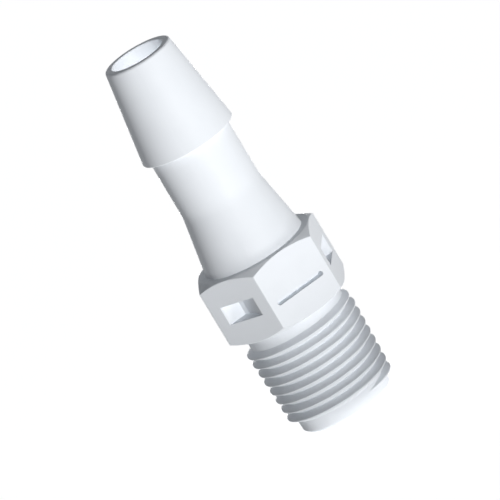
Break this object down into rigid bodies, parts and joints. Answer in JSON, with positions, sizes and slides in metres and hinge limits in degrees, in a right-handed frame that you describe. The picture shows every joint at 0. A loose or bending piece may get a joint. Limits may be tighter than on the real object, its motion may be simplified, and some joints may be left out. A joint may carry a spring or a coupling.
{
  "type": "threaded hose barb fitting",
  "caption": "Straight moulded plastic hose adapter: tapered male pipe thread at one end, wrench hexagon in the middle, necked hose barb at the other end, and a bore right through.",
  "frame": {"origin": "centre of the threaded end's face, on the bore's axis", "axes": "+Z along the bore towards the hose end; the hexagon flat with the index groove faces -Y and two of the hexagon's corners point along +X and -X"},
  "size_m": [0.0128, 0.011, 0.0365],
  "materials": {
    "white_plastic": "smooth moulded, satin"
  },
  "bodies": {
    "root": {"fitting_body": "white_plastic"}
  },
  "joints": []
}
